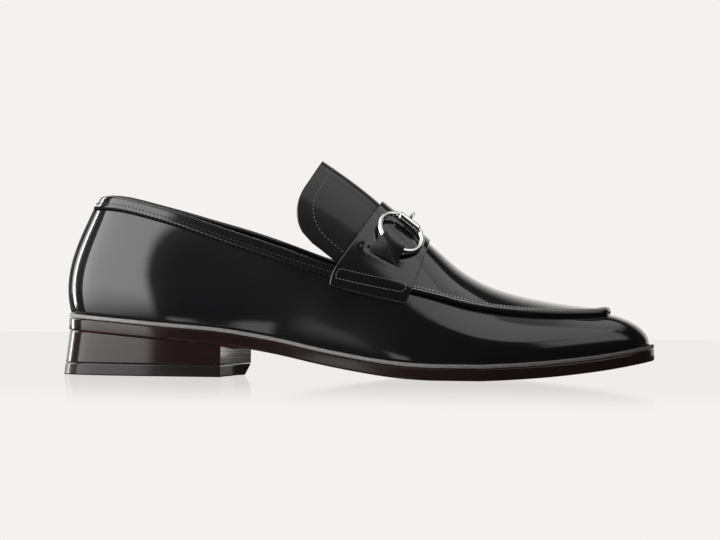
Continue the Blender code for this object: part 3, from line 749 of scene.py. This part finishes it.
# Keepers. A soft band of dull calf on each side comes up out of the slit, folds over the ring's far
# side and goes back under it, and is caught with a bar tack at the front of the slit.
KEEPER_WIDE = 13.2
KEEPER_REACH = 2.1
KEEPER_BULGE = 0.35
for side, name in ((-1, "outer"), (1, "inner")):
    centre, ahead, down, _ = bit_frame(side)

    def keeper_form(u, v, side=side, centre=centre, ahead=ahead, down=down):
        """Up from the slit, over the ring and back under it."""
        (back, back_across), (front, front_across) = SLIT
        across = back_across + (front_across - back_across) * u
        base, _ = strap_surface(back + (front - back) * u, side * across, -1.2)
        along = KEEPER_WIDE * (u - 0.5)
        deep = RING_DEEP - RING_WIDE / 2 + np.sqrt((RING_WIDE / 2) ** 2 - along ** 2) + 0.1
        fold = centre + times(ahead, along) + times(down, deep)
        rise = unit(fold - base)
        outward = unit(np.cross(ahead, -rise)) * side
        turn = np.clip((v - 0.5) / 0.3, 0, 1) * math.radians(200)
        wrap = fold + KEEPER_REACH * (times(outward, np.cos(turn)) + times(rise, np.sin(turn)))
        up_part = np.clip(v / 0.5, 0, 1)
        bulge = KEEPER_BULGE * np.sin(math.pi * up_part) ** 1.2
        rising = base + times(wrap - base, up_part) + times(outward, bulge)
        falling = wrap + times(base - wrap, np.clip((v - 0.8) / 0.2, 0, 1))
        return np.where((v < 0.5)[:, None], rising, np.where((v > 0.8)[:, None], falling, wrap))

    keeper = add_piece("keeper_loop_" + name, sheet_mesh(26, 70, keeper_form, flip=side > 0), dull)
    add_wall(keeper, thickness=0.85, side=0)
    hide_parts("keeper_" + name)

# Stitches. Waxed thread, black, grey or dim, sewn through band, lip, tongue and strap in short even
# stitches, made as small beads in rows. A bar tack closes the front end of each slit.
black_thread = plain_material("black_thread", (0.004, 0.004, 0.004), roughness=0.4)
grey_thread = plain_material("grey_thread", (0.34, 0.34, 0.33), roughness=0.4)
dim_thread = plain_material("dim_thread", (0.1, 0.1, 0.1), roughness=0.4)


def along_line(run, places, values):
    """The three parts of the values, read at places along a run."""
    return np.stack([np.interp(places, run, values[:, i]) for i in range(3)], -1)


def add_stitches(name, rows, spacing, long, radius, material):
    """A joined mesh of stitches. Each row gives points and outward directions in order."""
    shape = bmesh.new()
    bmesh.ops.create_uvsphere(shape, u_segments=8, v_segments=5, radius=1)
    template = np.array([vert.co for vert in shape.verts])
    faces = [[vert.index for vert in face.verts] for face in shape.faces]
    shape.free()
    points, polygons = [], []
    for line, outward in rows:
        run = np.concatenate(([0], np.cumsum(np.linalg.norm(np.diff(line, axis=0), axis=1))))
        count = max(2, int(run[-1] / spacing))
        places = (np.arange(count) + 0.5) * run[-1] / count
        spots = along_line(run, places, line)
        ahead = unit(along_line(run, places + 0.3, line) - spots)
        normal = unit(along_line(run, places, outward))
        for spot, along, across, up in zip(spots, ahead, np.cross(normal, ahead), normal):
            polygons += [[index + len(points) for index in face] for face in faces]
            turned = (template[:, 2:] * along * long / 2 + template[:, :1] * across * radius
                      + template[:, 1:2] * up * radius)
            points.extend(place(spot + turned))
    mesh = bpy.data.meshes.new(name)
    mesh.from_pydata([tuple(point) for point in points], [], polygons)
    bm = bmesh.new()
    bm.from_mesh(mesh)
    bpy.data.meshes.remove(mesh)
    bmesh.ops.recalc_face_normals(bm, faces=bm.faces[:])
    return add_piece(name, bm, material)


BAND_ROW = 2.3
BAND_ROW_X = 139
turn = np.linspace(float(seam_angle(BAND_ROW_X)), -float(seam_angle(BAND_ROW_X)), 900)
low, high = [band_face(turn, np.full(900, BAND_ROW + step)) for step in (0, 0.3)]
outward = unit(np.cross(high - low, np.gradient(low, axis=0)))
add_stitches("band_stitches", [(low + outward * 0.05, outward)], spacing=2.0, long=1.15, radius=0.38,
             material=black_thread)

LIP_ROW_X = 173
LIP_ROWS = (0.53, 0.75)
start = float(seam_angle(LIP_ROW_X))
turn = np.linspace(start, 2 * math.pi - start, 1400)
turn = np.where(turn > math.pi, turn - 2 * math.pi, turn)
_, corner, inward, normal = lip_frame(turn)
rows = [(corner + inward * LIP_SECTION(v) + normal * (LIP_TALL(v) + 0.12), normal) for v in LIP_ROWS]
add_stitches("lip_stitches_edge", rows[:1], spacing=1.5, long=1.4, radius=0.3, material=grey_thread)
add_stitches("lip_stitches_inside", rows[1:], spacing=1.9, long=1.3, radius=0.3, material=grey_thread)

TONGUE_ROW = 0.92
ROW_FROM_END = 5.7
side_row = np.linspace(168, 153.2, 60)
end_row = np.linspace(-TONGUE_ROW, TONGUE_ROW, 400)
across = np.concatenate((np.full(60, -TONGUE_ROW), end_row, np.full(60, TONGUE_ROW)))
ahead = np.concatenate((side_row, tongue_end(end_row / TONGUE_ROW) + ROW_FROM_END, side_row[::-1]))
line = tongue_face(ahead, across)
sideways = tongue_face(ahead, across + 0.01) - line
outward = unit(np.cross(tongue_face(ahead + 0.1, across) - line, sideways))
add_stitches("tongue_stitches", [(line + outward * 0.06, outward)], spacing=2.3, long=1.35, radius=0.26,
             material=dim_thread)


def strap_row(side, spots, lift):
    """Points and outward directions on the strap at spots of forward and across."""
    return [np.array(item) for item in zip(*[strap_surface(f, side * a, lift) for f, a in spots])]


box = [(f, 0.975) for f in np.linspace(0.07, 0.9, 30)] + [(0.93, 1.2)]
box += [(f, 1.48) for f in np.linspace(0.9, 0.07, 30)] + [(0.045, 1.2), (0.07, 0.975)]
add_stitches("strap_box_stitches", [strap_row(side, box, 0.05) for side in (-1, 1)], spacing=1.7,
             long=1.25, radius=0.27, material=dim_thread)
tacks = [[(SLIT[1][0] + 0.015 + step, across) for across in (0.76, 0.8, 0.84)] for step in (0, 0.03, 0.06)]
add_stitches("slit_bar_tacks", [strap_row(side, tack, 0.15) for side in (-1, 1) for tack in tacks],
             spacing=1.3, long=1.6, radius=0.3, material=black_thread)

# Cord. A fine twisted cord laid along the lower edge of the collar band, where it meets the
# quarters. It is dull beside the polished calf.
CORD_TWISTS = 140


def cord_form(u, v):
    """A round cord with ribs that slant along it."""
    reach = float(seam_angle(BAND_FRONT_X))
    seam, up, normal, _ = seam_frame(reach - 2 * reach * u)
    turn = 2 * math.pi * v
    radius = 0.72 + 0.24 * np.cos(2 * math.pi * CORD_TWISTS * u + turn)
    middle = seam + normal * 0.55 - up * 0.15
    return middle + times(normal, radius * np.cos(turn)) - times(up, radius * np.sin(turn))


dull_cord = plain_material("dull_cord", (0.004, 0.004, 0.004), roughness=0.85, gleam=0.15)
add_piece("band_cord", sheet_mesh(1400, 8, cord_form), dull_cord)

# Welt. A strip of leather sewn round the foot of the upper, on top of the outsole. Its outer top edge
# is rolled with a notched wheel. Its colour is painted light: a pale painted highlight at the heel that
# darkens into painted shade towards the toe.
WELT_INSET = np.array([0, 0.9, 0.5, 0.25, 0.2, 0.2, 0.3, 0.6, 1.2, 0, 0])
WELT_INSIDE = np.array([1, 0, 0, 0, 0, 0, 0, 0, 0, 1, 1])
WELT_TALL = np.array([0, 0, 0.02, 0.2, 0.6, 1.3, 1.7, 1.95, 2.0, 2.0, 0])
WHEELED = np.array([0, 0, 0, 0, 0, 0.4, 1, 1, 0.6, 0, 0])
WELT_BEHIND = 1.8
WHEEL_NOTCHES = 470
WHEEL_DEEP = 0.13
# Painted light in the welt's colour: a pale painted highlight near the heel and painted shade towards the
# toe.
WELT_PAINTED_HIGHLIGHT = (0.19, 0.184, 0.181, 1)
WELT_PAINTED_SHADE = (0.07, 0.062, 0.062, 1)
welt_hide, tree, shader = new_material("welt_leather")
fill(shader, {"Roughness": 0.5})
where, split = add_node(tree, "TexCoord"), add_node(tree, "SeparateXYZ")
# Along the shoe the base colour runs from the painted highlight into the painted shade.
along_shoe = add_node(tree, "MapRange", {"From Min": -0.02, "From Max": 0.17})
painted_light_ramp = add_node(tree, "Mix", {"A": WELT_PAINTED_HIGHLIGHT, "B": WELT_PAINTED_SHADE}, data_type="RGBA")
speckle = add_node(tree, "TexNoise", {"Scale": 1400, "Detail": 3})
spots = add_node(tree, "MapRange", {"From Min": 0.3, "From Max": 0.7, "To Min": 0.55, "To Max": 1.25})
toned = add_node(tree, "Mix", {"Factor": 1}, data_type="RGBA", blend_type="MULTIPLY")
wire(tree, (where, "Object", split, "Vector"), (split, "X", along_shoe, "Value"),
     (along_shoe, "Result", painted_light_ramp, "Factor"), (where, "Object", speckle, "Vector"),
     (speckle, "Fac", spots, "Value"), (painted_light_ramp, "Result", toned, "A"),
     (spots, "Result", toned, "B"), (toned, "Result", shader, "Base Color"))


def sole_point(angle, inset):
    """A point inside the sole edge by the inset, at height 0."""
    point, out = plan_point(SOLE_BACK, LENGTH, sole_side, angle)
    return point - times(out, inset)


def welt_form(u, v):
    """A closed section round the shoe, with notches rolled into its outer top edge."""
    angle = math.pi - 2 * math.pi * u
    row = np.round(v * (len(WELT_TALL) - 1)).astype(int)
    point = sole_point(angle, WELT_INSET[row] + WELT_INSIDE[row] * (feather(angle) + WELT_BEHIND))
    notch = WHEEL_DEEP * WHEELED[row] * (0.5 + 0.5 * np.cos(2 * math.pi * WHEEL_NOTCHES * u))
    return point + times(UP, underside(point[:, 0]) + OUTSOLE_THICK + GAP + WELT_TALL[row] - notch)


welt = add_piece("welt_strip", sheet_mesh(1880, 10, welt_form), welt_hide)
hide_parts("welt")

# Outsole. One layer of leather from heel to toe, sewn to the welt. Its edge is inked plum black and
# burnished, and its underside is red brown.
edge_ink = hide_material("sole_edge", (0.009, 0.0045, 0.005), roughness=0.2, coat=0.42, graining=0.02,
                         waves=0.03, light=1.8, gleam=0.2)
underside_hide = hide_material("sole_underside", (0.16, 0.06, 0.05), roughness=0.35, coat=0.3,
                               graining=0.05, waves=0.05, light=1.3)
PLATE_EDGE = [(0, 0.8, 0), (0.5, 0.8, 0), (0.85, 0.8, 0), (1, 0.8, 0), (1, 0.35, 0.1), (1, 0.08, 0.4),
              (1, 0, 0.9), (1, 0, 3), (1, 0, 5.2), (1, 0.08, 5.7), (1, 0.35, 6.0), (1, 0.8, 6.1),
              (0.85, 0.8, 6.1), (0.5, 0.8, 6.1), (0, 0.8, 6.1)]


def plate_form(table, base, inset_of):
    """A plate over the whole sole: rows of share from the middle, inset and height."""
    shares, insets, heights = np.array(table, float).T

    def form(u, v):
        angle = math.pi - 2 * math.pi * u
        row = np.round(v * (len(table) - 1)).astype(int)
        inset = inset_of(angle) + insets[row]
        point = sole_point(angle, inset)
        middle = (point + sole_point(-angle, inset)) / 2
        point = middle + times(point - middle, shares[row])
        return point + times(UP, underside(point[:, 0]) + base + heights[row])
    return form


outsole = add_piece("leather_sole", sheet_mesh(420, 14, plate_form(PLATE_EDGE, 0, lambda angle: 0)),
                    edge_ink)
outsole.data.materials.append(underside_hide)
for face in outsole.data.polygons:
    if face.normal.z < -0.9:
        face.material_index = 1
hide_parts("outsole")

# Insole. A leather board on the outsole inside the welt, with a black calf sock glued over it. The
# edge of the upper is lasted round it.
SOCK_INSET = 2.4
SOCK_EDGE = [(0, 0.4, 0), (1, 0.4, 0), (1, 0, 0.5), (1, 0, 2.9), (1, 0.1, 3.3), (1, 0.4, 3.5),
             (0.5, 0.4, 3.5), (0, 0.4, 3.5)]
sock_form = plate_form(SOCK_EDGE, OUTSOLE_THICK + GAP, lambda angle: feather(angle) + SOCK_INSET)
sock = add_piece("sock_and_insole", sheet_mesh(240, 7, sock_form), lining_hide)
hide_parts("insole")

# Heel. A stack of leather lifts pegged together and inked plum black like the sole edge, over a
# black rubber top piece. The breast is hollow and slants forward to the inner side.
HEEL_FLARE = 2.7
HEEL_HIGH = 22.5
TOP_PIECE_HIGH = 6.0
BREAST_OUTER = 81.2
BREAST_INNER = 95.4
HEEL_INSET = 0.4
BREAST_HOLLOW = 2.5
FLARE_REACH = 50.0
CORNER_FORWARD = 3.0


def sole_angle(x):
    """The angle at which the sole edge passes x."""
    return math.acos(1 - 2 * (x - SOLE_BACK) / (LENGTH - SOLE_BACK))


round_back = np.linspace(sole_angle(BREAST_INNER), -sole_angle(BREAST_OUTER), 161)
heel_line = sole_point(round_back, HEEL_INSET)
part = np.linspace(0, 1, 42)[1:-1]
breast = times(heel_line[-1], 1 - part) + times(heel_line[0], part)
breast[:, 0] -= BREAST_HOLLOW * np.sin(math.pi * part)
heel_line = np.concatenate((heel_line, breast, heel_line[:1]))
heel_middle = np.array((48.0, 0, 0))


def heel_form(low, table):
    """The heel's outline at rows of share of the height and inset, flared to the back."""
    shares, insets = np.array(table, float).T

    def form(u, v):
        point = heel_line[np.round(u * (len(heel_line) - 1)).astype(int)]
        row = np.round(v * (len(table) - 1)).astype(int)
        x = point[:, 0]
        point = point - times(unit(point - heel_middle), insets[row])
        high = underside(x) - GAP if low > 0 else np.full_like(x, TOP_PIECE_HIGH)
        z = low + (high - low) * shares[row]
        drop = 1 - z / HEEL_HIGH
        shift = HEEL_FLARE * drop * np.maximum(0, 1 - (x - SOLE_BACK) / FLARE_REACH)
        if low == 0:
            corner = (x > BREAST_OUTER + 3) * np.clip(point[:, 1] / 20, 0, 1)
            shift = shift + CORNER_FORWARD * corner * np.clip(1 - shares[row], 0, 1)
        return point + np.stack((-shift, 0 * x, z), -1)
    return form


rubber = hide_material("top_piece_rubber", (0.01, 0.008, 0.008), roughness=0.3, coat=0.25, graining=0.05,
                       waves=0.02, light=1.5, gleam=0.2)
LIFTS = [(0, 0.3), (0.012, 0.08), (0.03, 0), (0.05, 0), (0.34, 0), (0.352, 0), (0.36, 0.025), (0.368, 0),
         (0.38, 0), (0.66, 0), (0.672, 0), (0.68, 0.025), (0.688, 0), (0.7, 0), (0.95, 0), (0.97, 0),
         (0.988, 0.08), (1, 0.3)]
RUBBER_LAYER = [(0, 0.4), (0.03, 0.12), (0.08, 0), (0.12, 0), (0.86, 0), (0.9, 0), (0.96, 0.1), (1, 0.3)]
for name, low, table, material, slot in (
        ("heel_lifts", TOP_PIECE_HIGH + GAP, LIFTS, edge_ink, "sole_edge"),
        ("rubber_top_piece", 0.0, RUBBER_LAYER, rubber, "top_piece_rubber")):
    bm = sheet_mesh(len(heel_line) - 1, len(table) - 1, heel_form(low, table))
    bmesh.ops.holes_fill(bm, edges=[item for item in bm.edges if item.is_boundary])
    piece = add_piece(name, bm, material)
    piece.data.set_sharp_from_angle(angle=math.radians(40))
    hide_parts("heel_block" if low > 0 else "top_piece")

# Camera. The photo looks square at the outer side from far off, level with the shoe, with the lens
# rolled a little.
CAMERA_FAR = 2.5
FIELD_WIDE = 0.3705
AIM = Vector((-0.0005, 0.0, 0.0554))
ROLL = math.radians(0.77)
scene = bpy.context.scene
camera = bpy.data.objects.new("camera", bpy.data.cameras.new("camera"))
scene.collection.objects.link(camera)
scene.camera = camera
camera.data.sensor_width = 36
camera.data.lens = 36 * CAMERA_FAR / FIELD_WIDE
camera.data.clip_end = 50
camera.matrix_world = (Matrix.Translation(AIM + Vector((0, -CAMERA_FAR, 0)))
                       @ Matrix.Rotation(math.radians(90), 4, "X") @ Matrix.Rotation(ROLL, 4, "Z"))
scene.view_settings.view_transform = "Standard"

# Studio. A pale floor with a faint reflection, a lit backdrop that fades with height, a near softbox
# at the left with a low card by the foot, soft panels overhead and past the toe, and a strip of
# light behind the heel. The room behind the camera is dark.
PAPER = (0.905, 0.888, 0.871, 1)
world = bpy.data.worlds.new("studio")
scene.world = world
world.use_nodes = True
fill(world.node_tree.nodes["Background"], {"Color": (0.012, 0.012, 0.012, 1)})


def add_panel(name, corner, right, up, strength, fades=(0, 0, 0, 0), color=(1, 1, 1, 1), shown=False):
    """A panel of light from a corner along two edges, in metres. Fades: left, right, low, high."""
    corner, right, up = [np.array(vector, float) / MM for vector in (corner, right, up)]

    def form(u, v):
        return corner + times(right, u) + times(up, v) + np.array((LENGTH / 2, 0, 0))
    material, tree, shader = new_material(name)
    tree.nodes.remove(shader)
    glow = add_node(tree, "Emission", {"Color": color, "Strength": strength})
    laid = add_node(tree, "UVMap", uv_map="laid")
    split = add_node(tree, "SeparateXYZ")
    output = tree.nodes["Material Output"]
    wire(tree, (laid, "UV", split, "Vector"), (glow, "Emission", output, "Surface"))
    last = None
    for fade, axis, flipped in zip(fades, "XXYY", (False, True, False, True)):
        if fade:
            reach = {"From Min": int(flipped), "From Max": 1 - fade if flipped else fade}
            ramp = add_node(tree, "MapRange", reach, interpolation_type="SMOOTHSTEP")
            product = add_node(tree, "Math", {1: strength}, operation="MULTIPLY")
            wire(tree, (split, axis, ramp, "Value"), (ramp, "Result", product, 0))
            if last:
                wire(tree, (last, "Value", product, 1))
            last = product
    if last:
        wire(tree, (last, "Value", glow, "Strength"))
    panel = link_mesh(name, sheet_mesh(1, 1, form), material)
    panel.visible_camera = shown


add_panel("backdrop", (-1.5, 1.6, -0.02), (3.2, 0, 0), (0, 0, 1.6), 1.0, (0, 0, 0, 0.75), PAPER, True)
add_panel("strip_light_back", (-2.0, 1.7, -0.3), (0.35, 0.2, 0), (0, 0, 2), 8.0)
add_panel("softbox_left", (-0.51, 0.07, -0.17), (0.335, -0.51, 0), (0, 0, 0.87), 3.9,
          (0.03, 0.09, 0.3, 0.32))
add_panel("card_foot", (-0.17, -0.42, -0.24), (0.085, 0, 0), (0, 0, 0.15), 1.5, (0.3, 0.3, 0, 0.2))
add_panel("softbox_back_over", (-1.3, -0.8, 1.3), (1.4, 0, 0), (0, 2.1, 0.3), 1.6, (0.2, 0.1, 0.1, 0.2))
add_panel("softbox_over", (0.2, -1.0, 1.15), (1.3, 0, 0), (0, 1.15, 0.35), 1.3, (0.12, 0, 0.08, 0.1))
add_panel("softbox_toe_over", (0.3, 0.1, 1.45), (1.7, 0, 0), (0, 1.2, 0.45), 1.0, (0.35, 0.5, 0, 0))
add_panel("softbox_toe", (1.5, -1.5, 0.55), (0.5, 1.6, 0), (-0.1, 0, 1.2), 1.2, (0.2, 0.3, 0.2, 0.1))

paper, tree, shader = new_material("floor_paper")
tree.nodes.remove(shader)
lit = add_node(tree, "Emission", {"Color": PAPER})
sheen = add_node(tree, "BsdfGlossy", {"Roughness": 0.05})
mixed = add_node(tree, "MixShader")
where, split = add_node(tree, "TexCoord"), add_node(tree, "SeparateXYZ")
fading = add_node(tree, "MapRange", {"From Min": -0.6, "From Max": -0.1, "To Max": 0.25},
                  interpolation_type="SMOOTHSTEP")
wire(tree, (where, "Object", split, "Vector"), (split, "Y", fading, "Value"),
     (fading, "Result", mixed, "Fac"), (lit, "Emission", mixed, 1), (sheen, "BSDF", mixed, 2),
     (mixed, "Shader", tree.nodes["Material Output"], "Surface"))
bm = bmesh.new()
bmesh.ops.create_grid(bm, x_segments=1, y_segments=1, size=4)
bmesh.ops.translate(bm, verts=bm.verts[:], vec=(0, -2.4, -0.0001))
floor = link_mesh("floor", bm, paper)
floor.visible_glossy = False
